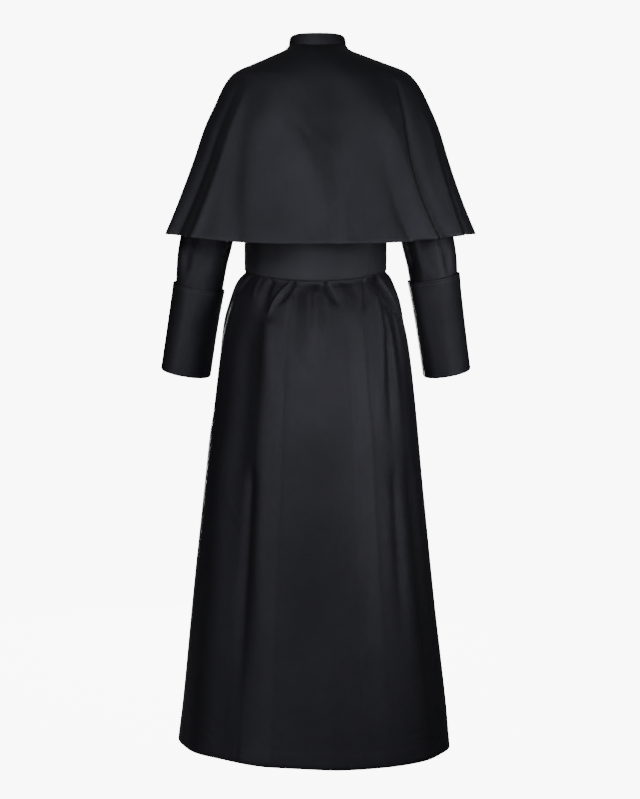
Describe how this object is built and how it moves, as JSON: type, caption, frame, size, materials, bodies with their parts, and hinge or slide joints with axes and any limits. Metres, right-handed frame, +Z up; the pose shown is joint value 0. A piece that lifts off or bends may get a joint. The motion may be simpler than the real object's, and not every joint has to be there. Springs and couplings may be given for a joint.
{
  "type": "priest costume",
  "caption": "Long cassock with a stand collar, elbow-length shoulder cape, wide belt and deep turned-back cuffs, hollow and shaped as worn.",
  "frame": {"origin": "between the wearer's shoulders, in the middle of the neck hole and level with the neck seam at the nape, where the garment hangs from the wearer", "axes": "+Z up, +Y to the wearer's back, -Y to the front, +X to the wearer's left"},
  "size_m": [0.6413, 0.523, 1.446],
  "materials": {
    "cassock_cloth": "matte black suiting",
    "cape_cloth": "matte black suiting with a soft sheen",
    "cuff_cloth": "matte black suiting",
    "collar_cloth": "matte black suiting over a stiffener",
    "belt_cloth": "matte black suiting, plain",
    "button": "black, half gloss"
  },
  "bodies": {
    "root": {"back": "cassock_cloth", "front_left": "cassock_cloth", "front_right": "cassock_cloth", "sleeve_left": "cassock_cloth", "sleeve_right": "cassock_cloth", "cuff_left": "cuff_cloth", "cuff_right": "cuff_cloth", "collar": "collar_cloth", "cape_back": "cape_cloth", "cape_front_left": "cape_cloth", "cape_front_right": "cape_cloth", "belt": "belt_cloth", "button_01": "button", "button_02": "button", "button_03": "button", "button_04": "button", "button_05": "button", "button_06": "button", "button_07": "button", "button_08": "button", "button_09": "button", "button_10": "button", "button_11": "button"}
  },
  "joints": []
}
